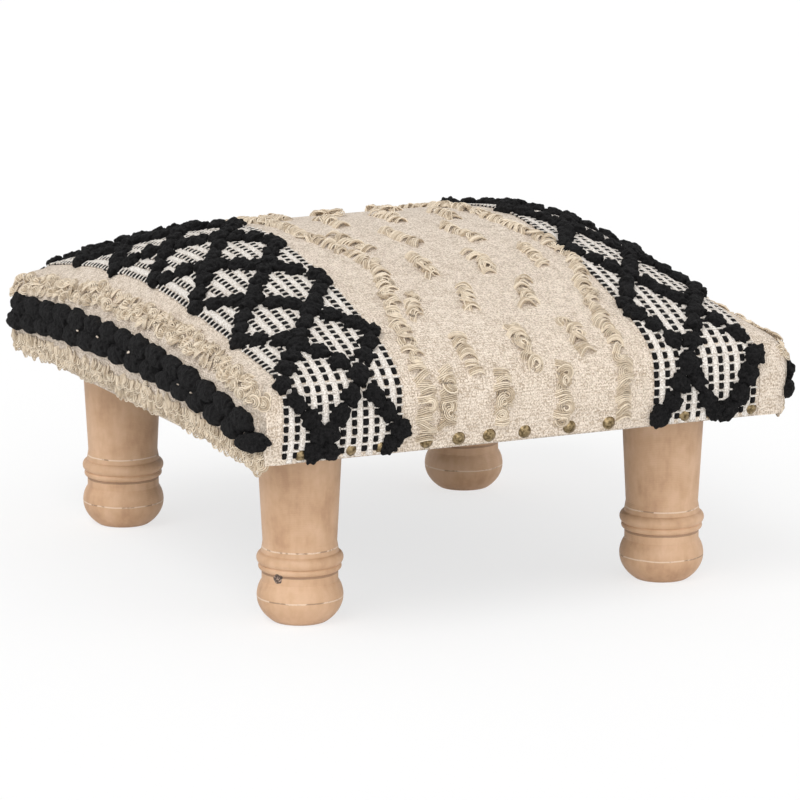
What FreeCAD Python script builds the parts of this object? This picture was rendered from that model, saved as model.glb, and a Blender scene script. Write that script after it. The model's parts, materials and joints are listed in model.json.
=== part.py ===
"""Padded footstool: four turned wooden legs, a railed frame, a crowned cushion and a woven cover.

The origin lies on the floor under the middle of the stool.  +Z is up, the nailed front
side faces -Y and the stool is longest along Y.  All lengths are in millimetres.
"""
import FreeCAD
import Part

import math
import os

SIZES = {
    # turned legs
    "leg_height": 123,
    "leg_inset_x": 59.5,
    "leg_inset_y": 70.5,
    "foot_radius": 28.3,
    "foot_middle": 17,
    "foot_flat": 5,
    "neck_radius": 25,
    "ring_radius": 28.4,
    "ring_round": 4.5,
    "ring_height": 42,
    "bead_radius": 27.2,
    "bead_round": 2.4,
    "bead_height": 36.4,
    "collar_rise": 11,
    "shaft_radius": 24.3,
    "shaft_top_radius": 28,
    # cushion outside
    "cushion_width": 386,
    "cushion_depth": 442,
    "wall_height": 54,
    "crown_height": 54,
    "cushion_corner": 18,
    "hem_draw": 3,
    "hem_width": 14,
    # raised yarn work on the cover
    "relief": 5,
    "net_strand": 10,
    "braid_width": 25,
    "braid_height": 33,
    "braid_fall": 14,
    "loop_row_width": 14,
    "loop_row_gap": 3,
    "tuft_width": 13,
    "clump_length": 34,
    "clump_pitch": 49.5,
    "nail_clear": 14,
    # layers
    "cloth": 2,
    "wadding_layer": 5,
    "soft_gap": 0.3,
    # frame
    "rail_height": 40,
    "rail_thick": 20,
    "board_thick": 9,
    "board_setback": 8,
    "block_thick": 28,
    "block_overlap": 30,
    # leg fixing
    "bolt_radius": 4,
    "bolt_depth": 40,
    "bolt_gap": 0.3,
    "tee_flange_radius": 11,
    "tee_flange_thick": 1.6,
    "tee_barrel_radius": 5.5,
    "tee_barrel_length": 10,
    # wood screws
    "screw_radius": 2,
    "screw_head_radius": 4,
    "screw_head_rise": 2.4,
    "frame_screw_length": 50,
    "block_screw_length": 45,
    "board_screw_length": 32,
    "board_screw_inset": 70,
    "board_screw_edge": 13,
    # upholstery nails
    "nail_head_radius": 4.75,
    "nail_head_rise": 2.6,
    "nail_shank_radius": 0.8,
    "nail_length": 20,
    "nail_drop": 4,
    # lining under the frame and its staples
    "lining_thick": 1,
    "lining_setback": 8,
    "lining_leg_gap": 2,
    "staple_crown": 10,
    "staple_wire": 1,
    "staple_leg": 10,
    # one overrun for every cut
    "overrun": 5,
}

# Places along a side, as shares of that side.
FRONT_NAIL_SHARES = (
    0.051, 0.146, 0.205, 0.293, 0.356, 0.416, 0.486, 0.575, 0.654, 0.807, 0.861, 0.943,
)
STAPLE_SHARES = (0.14, 0.32, 0.50, 0.68, 0.86)
SCREW_HEIGHT_SHARES = (0.25, 0.75)

# Stripes of the cover: both edges of a lattice band and the tuft columns as shares of half the width,
# the length of a diamond and one corner of the net as shares of half the depth.
NET_SHARES = (
    {"low": -0.912, "high": -0.492, "diamond": 0.324, "corner": -0.643},
    {"low": 0.455, "high": 0.850, "diamond": 0.400, "corner": -0.815},
)
NET_STRANDS = 3
TUFT_COLUMN_SHARES = (-0.375, 0.362)
CLUMP_COLUMN_SHARES = ((-0.192, 0.026, 0.238), (-0.295, -0.093, 0.135))
BRAID_END_SHARES = (-0.92, -0.5, 0, 0.5, 0.97)
SHOULDER_SHARE = 0.8

# Crown of the cushion: heights of its sections as shares of its full height, and the bend of its sides.
SECTION_SHARES = (0.30, 0.43, 0.53, 0.63, 0.73, 0.82, 0.90, 0.96, 0.99)
WALL_SHARE = 0.15
CORNER_SPREAD_SHARE = 0.9
EDGE_POWER = 9
CROWN_POWER_X = 4.5
CROWN_POWER_Y = 1.7
HALVINGS = 50

doc = FreeCAD.newDocument("footstool")
sheet = doc.addObject("Spreadsheet::Sheet", "size")
for row, (alias, number) in enumerate(SIZES.items(), start=1):
    sheet.set(f"A{row}", alias)
    sheet.set(f"B{row}", str(number))
    sheet.setAlias(f"B{row}", alias)
doc.recompute()

nodes = []


def value(alias):
    """The number that the sheet holds under an alias."""
    return float(sheet.get(alias))


def bind(thing, **expressions):
    """Tie properties of a document object to expressions of the sheet."""
    for prop, expression in expressions.items():
        thing.setExpression(prop.replace("__", "."), expression)
    return thing


def place(thing, x="0", y="0", z="0"):
    """Tie the position of a document object to expressions of the sheet."""
    return bind(thing, Placement__Base__x=x, Placement__Base__y=y, Placement__Base__z=z)


def turn(thing, axis, angle):
    """Turn a document object about one axis through its own origin."""
    thing.Placement = FreeCAD.Placement(FreeCAD.Vector(), FreeCAD.Rotation(FreeCAD.Vector(*axis), angle))
    return thing


def cylinder(name, radius, height, x="0", y="0", z="0"):
    return place(bind(doc.addObject("Part::Cylinder", name), Radius=radius, Height=height), x, y, z)


def cone(name, low_radius, high_radius, height, z="0"):
    taper = bind(doc.addObject("Part::Cone", name), Radius1=low_radius, Radius2=high_radius, Height=height)
    return place(taper, z=z)


def ring(name, radius, thickness, z):
    torus = bind(doc.addObject("Part::Torus", name), Radius1=f"{radius} - {thickness}", Radius2=thickness)
    return place(torus, z=z)


def box(name, low, high):
    """A box between two corners, each three expressions."""
    spans = [f"({b}) - ({a})" for a, b in zip(low, high)]
    block = bind(doc.addObject("Part::Box", name), Length=spans[0], Width=spans[1], Height=spans[2])
    return place(block, *low)


def fuse(name, pieces):
    joined = doc.addObject("Part::MultiFuse", name)
    joined.Shapes = pieces
    return joined


def cut(name, base, *tools):
    """The base without the tools."""
    for number, tool in enumerate(tools):
        less = doc.addObject("Part::Cut", f"{name}_cut_{number}")
        less.Base = base
        less.Tool = tool
        base = less
    return base


def group(name, pieces):
    bundle = doc.addObject("Part::Compound", name)
    bundle.Links = pieces
    return bundle


def solid(name, shape):
    """A shape that lofts make, as a document object."""
    feature = doc.addObject("Part::Feature", name)
    feature.Shape = shape
    return feature


def node(name, thing):
    """Keep a document object as one sub-part of the stool."""
    thing.Label = name
    nodes.append(thing)
    return thing


def both_sides(expression):
    """The same distance on the low and on the high side of the middle."""
    return {-1: f"-({expression})", 1: f"({expression})"}


SIDE_NAMES_X = {-1: "left", 1: "right"}
SIDE_NAMES_Y = {-1: "front", 1: "back"}
CORNERS = [(side_x, side_y) for side_y in (-1, 1) for side_x in (-1, 1)]

LAYERS = "size.hem_draw + size.cloth + size.wadding_layer + 2 * size.soft_gap"
FRAME_X = f"(size.cushion_width / 2 - ({LAYERS}))"
FRAME_Y = f"(size.cushion_depth / 2 - ({LAYERS}))"
INNER_X = f"({FRAME_X} - size.rail_thick)"
INNER_Y = f"({FRAME_Y} - size.rail_thick)"
LEG_OUT_X = "(size.cushion_width / 2 - size.leg_inset_x)"
LEG_OUT_Y = "(size.cushion_depth / 2 - size.leg_inset_y)"
LEG_X = both_sides(LEG_OUT_X)
LEG_Y = both_sides(LEG_OUT_Y)
RAIL_LOW = "size.leg_height"
RAIL_HIGH = "(size.leg_height + size.rail_height)"
BLOCK_HIGH = "(size.leg_height + size.block_thick)"
BOARD_HIGH = f"({RAIL_HIGH} + size.board_thick)"
LINING_LOW = "(size.leg_height - size.cloth - size.lining_thick)"
NAIL_DRAW = f"size.hem_draw * (1 - size.nail_drop / ((size.wall_height + size.crown_height) * {WALL_SHARE}))"
NAIL_Y = f"size.cushion_depth / 2 - {NAIL_DRAW} + size.soft_gap"


# Cushion forms: lofts through rounded rectangles that share one crown.

def rounded_rectangle(half_x, half_y, corner, height):
    """A flat wire of four lines and four quarter arcs."""
    corner = min(corner, half_x, half_y)
    slant = corner * math.sqrt(0.5)
    edges = []
    last = None
    first = None
    for sign_x, sign_y, flip in ((1, 1, False), (-1, 1, True), (-1, -1, False), (1, -1, True)):
        middle = FreeCAD.Vector(sign_x * (half_x - corner), sign_y * (half_y - corner), height)
        on_x = middle + FreeCAD.Vector(sign_x * corner, 0, 0)
        on_y = middle + FreeCAD.Vector(0, sign_y * corner, 0)
        between = middle + FreeCAD.Vector(sign_x * slant, sign_y * slant, 0)
        start, end = (on_y, on_x) if flip else (on_x, on_y)
        if last is not None and (start - last).Length > 0:
            edges.append(Part.makeLine(last, start))
        edges.append(Part.Arc(start, between, end).toShape())
        first = first or start
        last = end
    edges.append(Part.makeLine(last, first))
    return Part.Wire(edges)


def side_height(plan_share, power):
    """Height of the cushion over a place that lies a share of the way from its middle to one side."""
    edge = (1 - plan_share ** EDGE_POWER) ** (1 / EDGE_POWER)
    return value("wall_height") * edge + value("crown_height") * (1 - plan_share ** power)


def plan_share_at(height, power):
    """Share of the way from the middle to one side where the cushion has a height."""
    low = 0.0
    high = 1.0
    for _ in range(HALVINGS):
        middle = (low + high) / 2
        if side_height(middle, power) > height:
            low = middle
        else:
            high = middle
    return low


def cushion_form(inset):
    """The cushion's outside, drawn in evenly by an inset, from the rails' lower edge up."""
    half_x = value("cushion_width") / 2 - inset
    half_y = value("cushion_depth") / 2 - inset
    low = value("leg_height")
    full = value("wall_height") + value("crown_height")
    corner = value("cushion_corner") - inset
    draw = value("hem_draw")
    wires = [
        rounded_rectangle(half_x - draw, half_y - draw, corner, low),
        rounded_rectangle(half_x, half_y, corner, low + (full - inset) * WALL_SHARE),
    ]
    for share in SECTION_SHARES:
        wide = half_x * plan_share_at(full * share, CROWN_POWER_X)
        deep = half_y * plan_share_at(full * share, CROWN_POWER_Y)
        above_share = max(0, (full * share - value("wall_height")) / value("crown_height"))
        spread = corner + (min(wide, deep) * CORNER_SPREAD_SHARE - corner) * above_share
        wires.append(rounded_rectangle(wide, deep, spread, low + (full - inset) * share / SECTION_SHARES[-1]))
    return Part.makeLoft(wires, True, False)


def slab(inset, low, high):
    """A flat sheet with the plan of the drawn-in lower edge of the cushion."""
    half_x = value("cushion_width") / 2 - value("hem_draw") - inset
    half_y = value("cushion_depth") / 2 - value("hem_draw") - inset
    corner = max(value("cushion_corner") - inset, value("cloth"))
    face = Part.Face(rounded_rectangle(half_x, half_y, corner, low))
    return face.extrude(FreeCAD.Vector(0, 0, high - low))


# Raised yarn work: upright and level prisms that pick their share of a slightly larger cushion form.

def prism(corners, way):
    """A straight solid over a flat outline."""
    points = [FreeCAD.Vector(*corner) for corner in corners]
    return Part.Face(Part.makePolygon(points + points[:1])).extrude(FreeCAD.Vector(*way))


def zigzag(net, strand, low, high):
    """Bends of one strand of a net, as pairs of a place across and a place along the cloth."""
    half_x = value("cushion_width") / 2
    half_y = value("cushion_depth") / 2
    leg_length = net["diamond"] * half_y * NET_STRANDS / 2
    start = net["corner"] * half_y + strand * net["diamond"] * half_y

    def across(along):
        turns = (along - start) / leg_length
        share = 1 - abs(turns % 2 - 1)
        return half_x * (net["low"] + (net["high"] - net["low"]) * share)

    first = math.ceil((low - start) / leg_length)
    last = math.floor((high - start) / leg_length)
    bends = [start + leg_length * turn_number for turn_number in range(first, last + 1)]
    return [(across(along), along) for along in [low, *bends, high]]


def ribbon(bends):
    """Outline of a strand of even width along its bends."""
    half = value("net_strand") / 2 * math.sqrt(2)
    low_side = [(x - half, along) for x, along in bends]
    high_side = [(x + half, along) for x, along in reversed(bends)]
    return low_side + high_side


def net_prisms(shoulder, bottom, out_y, tall):
    """Both lattice nets, on the crown and down the front and back walls."""
    half_y = value("cushion_depth") / 2
    deep = out_y - half_y * SHOULDER_SHARE
    solids = []
    for net in NET_SHARES:
        for strand in range(NET_STRANDS):
            plan = ribbon(zigzag(net, strand, -out_y, out_y))
            solids.append(prism([(x, along, shoulder) for x, along in plan], (0, 0, tall)))
            for side in (-1, 1):
                ends = sorted((side * half_y, side * (half_y + shoulder - bottom)))
                wall = ribbon(zigzag(net, strand, *ends))
                face = [(x, side * out_y, shoulder - (abs(along) - half_y)) for x, along in wall]
                solids.append(prism(face, (0, -side * deep, 0)))
    return solids


def upright_block(middle_x, low_y, high_y, low_z, tall):
    half = value("tuft_width") / 2
    low_x, high_x = middle_x - half, middle_x + half
    corners = [(low_x, low_y, low_z), (high_x, low_y, low_z), (high_x, high_y, low_z), (low_x, high_y, low_z)]
    return prism(corners, (0, 0, tall))


def tuft_prisms(shoulder, bottom, out_y, tall):
    """Tuft columns beside the bands and the staggered clumps of the middle field."""
    half_x = value("cushion_width") / 2
    half_y = value("cushion_depth") / 2
    solids = [upright_block(share * half_x, -out_y, out_y, bottom, tall) for share in TUFT_COLUMN_SHARES]
    pitch = value("clump_pitch")
    rows = math.floor((half_y - value("clump_length") / 2) / pitch)
    for row in range(-rows, rows + 1):
        low_y = row * pitch - value("clump_length") / 2
        for share in CLUMP_COLUMN_SHARES[row % 2]:
            solids.append(upright_block(share * half_x, low_y, low_y + value("clump_length"), bottom, tall))
    for share in CLUMP_COLUMN_SHARES[(rows + 1) % 2]:
        for low_y in (-out_y, half_y - value("relief")):
            high_y = low_y + out_y - half_y + value("relief")
            solids.append(upright_block(share * half_x, low_y, high_y, bottom, shoulder - bottom))
    return solids


def side_prisms(out_x):
    """Black braid and the loop row above it, arched along both side walls."""
    half_y = value("cushion_depth") / 2
    deep = value("wall_height")
    braid_half = value("braid_width") / 2
    row_low = braid_half + value("loop_row_gap")
    solids = []
    for low, high in ((-braid_half, braid_half), (row_low, row_low + value("loop_row_width"))):
        middle = [
            (share * half_y, value("leg_height") + value("braid_height") - value("braid_fall") * share ** 2)
            for share in BRAID_END_SHARES
        ]
        outline = [(y, z + low) for y, z in middle] + [(y, z + high) for y, z in reversed(middle)]
        for side in (-1, 1):
            face = [(side * out_x, y, z) for y, z in outline]
            solids.append(prism(face, (-side * deep, 0, 0)))
    return solids


def raised_yarn():
    """The main forms of the yarn work: nets, tufts, braids and loop rows."""
    out_x = value("cushion_width") / 2 + value("relief") + value("overrun")
    out_y = value("cushion_depth") / 2 + value("relief") + value("overrun")
    base = value("leg_height")
    shoulder = base + value("wall_height") * SHOULDER_SHARE
    bottom = base + value("nail_clear")
    tall = value("wall_height") + value("crown_height") + value("overrun")
    prisms = net_prisms(shoulder, bottom, out_y, tall)
    prisms += tuft_prisms(shoulder, bottom, out_y, tall)
    prisms += side_prisms(out_x)
    return cushion_form(-value("relief")).common(prisms[0].multiFuse(prisms[1:]))


# Fasteners first, because the pieces that they hold are bored by them.

def screw(name, length, axis, angle, x, y, z):
    """A countersunk screw whose head lies flush at its place and whose point follows the turned Z axis."""
    head = cone(f"{name}_head", "size.screw_head_radius", "size.screw_radius", "size.screw_head_rise")
    shank = cylinder(f"{name}_shank", "size.screw_radius", length)
    whole = fuse(name, [head, shank])
    turn(whole, axis, angle)
    return place(whole, x, y, z)


QUARTER = 90
AXIS_X = (1, 0, 0)
AXIS_Y = (0, 1, 0)


def frame_screws():
    pieces = []
    for side_x, side_y in CORNERS:
        for number, share in enumerate(SCREW_HEIGHT_SHARES):
            name = f"frame_screw_{side_x}_{side_y}_{number}"
            pieces.append(screw(
                name, "size.frame_screw_length", AXIS_X, QUARTER * side_y,
                both_sides(f"{FRAME_X} - size.rail_thick / 2")[side_x], both_sides(FRAME_Y)[side_y],
                f"{RAIL_LOW} + size.rail_height * {share}"))
    return node("frame_screws", group("frame_screws", pieces))


def block_screws():
    pieces = []
    for side_x, side_y in CORNERS:
        for number, share in enumerate(SCREW_HEIGHT_SHARES):
            along = f"{INNER_Y} - ({INNER_Y} - {LEG_OUT_Y}) * {share}"
            name = f"block_screw_{side_x}_{side_y}_{number}"
            pieces.append(screw(
                name, "size.block_screw_length", AXIS_Y, -QUARTER * side_x,
                both_sides(FRAME_X)[side_x], both_sides(along)[side_y],
                f"{RAIL_LOW} + size.block_thick / 2"))
    return node("block_screws", group("block_screws", pieces))


def board_screws():
    pieces = []
    for side_x, side_y in CORNERS:
        spots = {
            "end": ("size.board_screw_inset", f"{FRAME_Y} - size.board_screw_edge"),
            "side": (f"{FRAME_X} - size.board_screw_edge", "size.board_screw_inset"),
        }
        for kind, (out_x, out_y) in spots.items():
            name = f"board_screw_{kind}_{side_x}_{side_y}"
            pieces.append(screw(
                name, "size.board_screw_length", AXIS_X, 2 * QUARTER,
                both_sides(out_x)[side_x], both_sides(out_y)[side_y], BOARD_HIGH))
    return node("board_screws", group("board_screws", pieces))


def nails(side_y, shares):
    """Domed nails through cover and wadding into the front or the back rail."""
    dome = "(size.nail_head_radius ^ 2 + size.nail_head_rise ^ 2) / (2 * size.nail_head_rise)"
    pieces = []
    for number, share in enumerate(shares):
        name = f"nail_{SIDE_NAMES_Y[side_y]}_{number}"
        head = bind(doc.addObject("Part::Sphere", f"{name}_head"), Radius=dome,
                    Angle1=f"asin(({dome} - size.nail_head_rise) / ({dome}))")
        place(head, z=f"size.nail_head_rise - ({dome})")
        shank = cylinder(f"{name}_shank", "size.nail_shank_radius", "size.nail_length", z="-size.nail_length")
        whole = fuse(name, [head, shank])
        turn(whole, AXIS_X, -QUARTER * side_y)
        middle_x = f"-{FRAME_X} + 2 * {FRAME_X} * {share}"
        place(whole, middle_x, both_sides(NAIL_Y)[side_y], f"{RAIL_LOW} + size.nail_drop")
        pieces.append(whole)
    name = f"{SIDE_NAMES_Y[side_y]}_nails"
    return node(name, group(name, pieces))


def hem_staples():
    """Staples that hold the lining and the turned hem under the left and right rails."""
    pieces = []
    half = "size.staple_crown / 2"
    for side_x in SIDE_NAMES_X:
        middle_x = both_sides(f"{FRAME_X} - size.rail_thick / 2")[side_x]
        for number, share in enumerate(STAPLE_SHARES):
            name = f"staple_{SIDE_NAMES_X[side_x]}_{number}"
            middle_y = f"-{FRAME_Y} + 2 * {FRAME_Y} * {share}"
            low_x = f"{middle_x} - size.staple_wire / 2"
            high_x = f"{middle_x} + size.staple_wire / 2"
            low_z = f"{LINING_LOW} - size.staple_wire"
            high_z = f"{low_z} + size.staple_leg"
            near_y = f"{middle_y} - {half}"
            far_y = f"{middle_y} + {half}"
            near_inside_y = f"{near_y} + size.staple_wire"
            far_inside_y = f"{far_y} - size.staple_wire"
            bars = [
                box(f"{name}_crown", (low_x, near_y, low_z), (high_x, far_y, LINING_LOW)),
                box(f"{name}_near_leg", (low_x, near_y, low_z), (high_x, near_inside_y, high_z)),
                box(f"{name}_far_leg", (low_x, far_inside_y, low_z), (high_x, far_y, high_z)),
            ]
            pieces.append(fuse(name, bars))
    return node("hem_staples", group("hem_staples", pieces))


def hanger_bolts():
    pieces = [
        cylinder(f"bolt_{side_x}_{side_y}", "size.bolt_radius", "size.bolt_depth + size.block_thick",
                 LEG_X[side_x], LEG_Y[side_y], "size.leg_height - size.bolt_depth")
        for side_x, side_y in CORNERS
    ]
    return node("hanger_bolts", group("hanger_bolts", pieces))


def tee_nuts():
    pieces = []
    for side_x, side_y in CORNERS:
        name = f"tee_nut_{side_x}_{side_y}"
        flange = cylinder(f"{name}_flange", "size.tee_flange_radius", "size.tee_flange_thick",
                          z="size.tee_barrel_length")
        barrel = cylinder(f"{name}_barrel", "size.tee_barrel_radius", "size.tee_barrel_length")
        bore_length = "size.tee_barrel_length + size.tee_flange_thick + size.overrun"
        bore = cylinder(f"{name}_bore", "size.bolt_radius", bore_length, z="-size.overrun / 2")
        nut = cut(name, fuse(f"{name}_body", [flange, barrel]), bore)
        pieces.append(place(nut, LEG_X[side_x], LEG_Y[side_y], f"{BLOCK_HIGH} - size.tee_barrel_length"))
    return node("tee_nuts", group("tee_nuts", pieces))


def bun(name):
    """Squat ball foot, cut flat where it stands on the floor."""
    ball = bind(doc.addObject("Part::Ellipsoid", f"{name}_ball"), Radius1="size.foot_middle + size.foot_flat",
                Radius2="size.foot_radius", Radius3="size.foot_radius")
    place(ball, z="size.foot_middle")
    reach = "(size.foot_radius + size.overrun)"
    deep = "-size.foot_flat - size.overrun"
    ground = box(f"{name}_ground", (f"-{reach}", f"-{reach}", deep), (reach, reach, "0"))
    return cut(name, ball, ground)


def leg(side_x, side_y):
    """One turned leg: bun foot, neck, ring, collar and a shaft that widens to the frame."""
    name = f"leg_{SIDE_NAMES_Y[side_y]}_{SIDE_NAMES_X[side_x]}"
    collar_high = "(size.ring_height + size.collar_rise)"
    solids = [
        bun(f"{name}_foot"),
        cylinder(f"{name}_neck", "size.neck_radius", "size.ring_height - size.foot_middle",
                 z="size.foot_middle"),
        cylinder(f"{name}_ring_core", "size.ring_radius - size.ring_round", "2 * size.ring_round",
                 z="size.ring_height - size.ring_round"),
        ring(f"{name}_ring", "size.ring_radius", "size.ring_round", "size.ring_height"),
        ring(f"{name}_bead", "size.bead_radius", "size.bead_round", "size.bead_height"),
        cone(f"{name}_collar", "size.ring_radius - size.ring_round / 2", "size.shaft_radius",
             "size.collar_rise", z="size.ring_height"),
        cone(f"{name}_shaft", "size.shaft_radius", "size.shaft_top_radius",
             f"size.leg_height - {collar_high}", z=collar_high),
    ]
    bore = cylinder(f"{name}_bore", "size.bolt_radius", "size.bolt_depth + size.overrun",
                    z="size.leg_height - size.bolt_depth")
    turned = cut(name, fuse(f"{name}_turned", solids), bore)
    return node(name, place(turned, LEG_X[side_x], LEG_Y[side_y]))


def rail_across(side_y, *tools):
    """Front or back rail, over the full width, with its outer ends rounded to fit the cover."""
    name = f"rail_{SIDE_NAMES_Y[side_y]}"
    low_y, high_y = (f"-{FRAME_Y}", f"-{INNER_Y}") if side_y < 0 else (INNER_Y, FRAME_Y)
    bar = box(f"{name}_bar", (f"-{FRAME_X}", low_y, RAIL_LOW), (FRAME_X, high_y, RAIL_HIGH))
    plan = solid(f"{name}_plan", slab(value("cloth") + value("wadding_layer") + 2 * value("soft_gap"),
                                      value("leg_height"), value("leg_height") + value("rail_height")))
    rounded = doc.addObject("Part::Common", f"{name}_rounded")
    rounded.Base = bar
    rounded.Tool = plan
    return node(name, cut(name, rounded, *tools))


def rail_along(side_x, *tools):
    """Left or right rail, between the front and the back rail."""
    name = f"rail_{SIDE_NAMES_X[side_x]}"
    low_x, high_x = (f"-{FRAME_X}", f"-{INNER_X}") if side_x < 0 else (INNER_X, FRAME_X)
    bar = box(f"{name}_bar", (low_x, f"-{INNER_Y}", RAIL_LOW), (high_x, INNER_Y, RAIL_HIGH))
    return node(name, cut(name, bar, *tools))


def corner_block(side_x, side_y, *tools):
    """Block in one frame corner that takes the leg's bolt in a tee nut."""
    name = f"corner_block_{SIDE_NAMES_Y[side_y]}_{SIDE_NAMES_X[side_x]}"
    near_x = f"{LEG_OUT_X} - size.block_overlap"
    near_y = f"{LEG_OUT_Y} - size.block_overlap"
    low_x, high_x = (f"-{INNER_X}", f"-({near_x})") if side_x < 0 else (near_x, INNER_X)
    low_y, high_y = (f"-{INNER_Y}", f"-({near_y})") if side_y < 0 else (near_y, INNER_Y)
    body = box(f"{name}_body", (low_x, low_y, RAIL_LOW), (high_x, high_y, BLOCK_HIGH))
    spot = (LEG_X[side_x], LEG_Y[side_y])
    bolt_way = cylinder(f"{name}_bolt_way", "size.bolt_radius + size.bolt_gap",
                        "size.block_thick + size.overrun", *spot, f"{RAIL_LOW} - size.overrun / 2")
    nut_seat = cylinder(f"{name}_nut_seat", "size.tee_barrel_radius", "size.tee_barrel_length + size.overrun",
                        *spot, f"{BLOCK_HIGH} - size.tee_barrel_length")
    return node(name, cut(name, body, bolt_way, nut_seat, *tools))


def seat_board(*tools):
    """Board on the rails that carries the foam."""
    low = value("leg_height") + value("rail_height")
    inset = value("cloth") + value("wadding_layer") + 2 * value("soft_gap") + value("board_setback")
    plate = solid("seat_board_plate", slab(inset, low, low + value("board_thick")))
    return node("seat_board", cut("seat_board", plate, *tools))


def below(name, height):
    """Everything under a height, as a block to cut with."""
    reach_x = "(size.cushion_width / 2 + size.overrun)"
    reach_y = "(size.cushion_depth / 2 + size.overrun)"
    return box(name, (f"-{reach_x}", f"-{reach_y}", "0"), (reach_x, reach_y, height))


def foam_pad():
    inset = value("cloth") + value("wadding_layer") + 2 * value("soft_gap")
    form = solid("foam_form", cushion_form(inset))
    return node("foam_pad", cut("foam_pad", form, below("foam_floor", BOARD_HIGH)))


def wadding(*tools):
    """Soft layer over the foam and down the outside of the rails."""
    inset = value("cloth") + value("soft_gap")
    outside = solid("wadding_outside", cushion_form(inset))
    inside = solid("wadding_inside", cushion_form(inset + value("wadding_layer")))
    return node("wadding", cut("wadding", outside, inside, *tools))


def woven_cover(*tools):
    """Cover over the whole cushion, with raised yarn work and its hem turned in under the rails."""
    low = value("leg_height")
    outside = solid("cover_outside", cushion_form(0))
    raised = solid("cover_raised", raised_yarn())
    hem = solid("cover_hem", slab(0, low - value("cloth"), low))
    inside = solid("cover_inside", cushion_form(value("cloth")))
    mouth_inset = value("cloth") + value("hem_width")
    mouth_low = low - value("cloth") - value("overrun")
    mouth = solid("cover_mouth", slab(mouth_inset, mouth_low, low + value("overrun")))
    skin = fuse("cover_skin", [outside, hem, raised])
    return node("woven_cover", cut("woven_cover", skin, inside, mouth, *tools))


def underside_lining(*tools):
    """Thin cloth that closes the frame from below, open round each leg."""
    high = value("leg_height") - value("cloth")
    sheet_form = solid("lining_sheet", slab(value("lining_setback"), high - value("lining_thick"), high))
    holes = [
        cylinder(f"lining_hole_{side_x}_{side_y}", "size.shaft_top_radius + size.lining_leg_gap",
                 "size.lining_thick + 2 * size.overrun", LEG_X[side_x], LEG_Y[side_y],
                 f"{LINING_LOW} - size.overrun")
        for side_x, side_y in CORNERS
    ]
    return node("underside_lining", cut("underside_lining", sheet_form, *holes, *tools))


def build():
    frame_fixings = frame_screws()
    block_fixings = block_screws()
    board_fixings = board_screws()
    front = nails(-1, FRONT_NAIL_SHARES)
    back = nails(1, FRONT_NAIL_SHARES)
    staples = hem_staples()
    hanger_bolts()
    tee_nuts()
    for side_x, side_y in CORNERS:
        leg(side_x, side_y)
        corner_block(side_x, side_y, block_fixings)
    rail_across(-1, frame_fixings, board_fixings, front)
    rail_across(1, frame_fixings, board_fixings, back)
    for side_x in SIDE_NAMES_X:
        rail_along(side_x, frame_fixings, block_fixings, board_fixings, staples)
    seat_board(board_fixings)
    foam_pad()
    wadding(front, back)
    woven_cover(front, back, staples)
    underside_lining(staples)


build()
doc.recompute()

for thing in doc.Objects:
    if "Invalid" in thing.State or "Error" in thing.State:
        raise RuntimeError(f"{thing.Name} failed: {thing.State}")
for thing in nodes:
    if thing.Shape.isNull() or not thing.Shape.isValid():
        raise RuntimeError(f"{thing.Label} has no valid shape")

os.makedirs("parts", exist_ok=True)
for thing in nodes:
    thing.Shape.exportStep(f"parts/{thing.Label}.step")
    print(thing.Label, len(thing.Shape.Solids), round(thing.Shape.Volume))
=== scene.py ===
"""Looks of the padded footstool: a handwoven cover with raised yarn work, turned legs and brass nails.

Lengths are in metres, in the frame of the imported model: +Z up, the nailed front side at -Y.
The cover is drawn by two kinds of cloth lines.  A lengthwise line runs from the front hem over
the crown to the back hem at one X, a crosswise line from the left hem to the right hem at one Y.
"""

import json
import math

import bpy
import numpy as np
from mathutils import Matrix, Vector

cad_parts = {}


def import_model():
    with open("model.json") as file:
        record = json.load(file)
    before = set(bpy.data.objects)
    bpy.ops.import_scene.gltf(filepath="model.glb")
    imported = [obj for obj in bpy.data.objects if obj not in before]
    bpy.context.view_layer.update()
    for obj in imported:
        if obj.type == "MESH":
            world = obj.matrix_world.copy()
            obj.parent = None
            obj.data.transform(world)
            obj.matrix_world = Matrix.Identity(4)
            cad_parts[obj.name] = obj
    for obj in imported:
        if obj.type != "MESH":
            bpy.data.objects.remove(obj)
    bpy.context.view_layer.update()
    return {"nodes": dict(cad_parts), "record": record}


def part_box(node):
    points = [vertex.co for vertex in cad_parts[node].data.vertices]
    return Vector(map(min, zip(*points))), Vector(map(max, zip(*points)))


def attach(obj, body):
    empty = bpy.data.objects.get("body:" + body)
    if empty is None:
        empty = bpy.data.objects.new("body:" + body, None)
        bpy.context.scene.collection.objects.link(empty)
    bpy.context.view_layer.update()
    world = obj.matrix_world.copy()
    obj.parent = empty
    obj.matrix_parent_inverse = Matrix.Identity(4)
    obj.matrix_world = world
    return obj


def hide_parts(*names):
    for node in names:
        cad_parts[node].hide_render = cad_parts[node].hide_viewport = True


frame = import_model()
rng = np.random.default_rng(seed=7)

MM = 0.001
TINY = 1e-9

# The cushion's form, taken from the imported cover, whose yarn work stands out by the relief.
RELIEF = 5 * MM
COVER_LOW, COVER_HIGH = (np.array(corner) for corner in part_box("woven_cover"))
HALF_X, HALF_Y = (COVER_HIGH[:2] - COVER_LOW[:2]) / 2 - RELIEF
BASE_Z = COVER_LOW[2]
FULL = COVER_HIGH[2] - RELIEF - BASE_Z
WALL_SHARE = 0.5
CORNER = 18 * MM
HEM_DRAW = 3 * MM
HEM_DRAW_SHARE = 0.15
HEM_WIDTH = 14 * MM
CLOTH_THICK = 1.6 * MM
EDGE_POWER = 9
CROWN_POWER_X = 4.5
CROWN_POWER_Y = 1.7

# In the values below a scatter is the spread of a random shift, a pair of sizes or steps is the range of
# a random factor, and wool is how much a lump swells and how large its knobs are.

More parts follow.
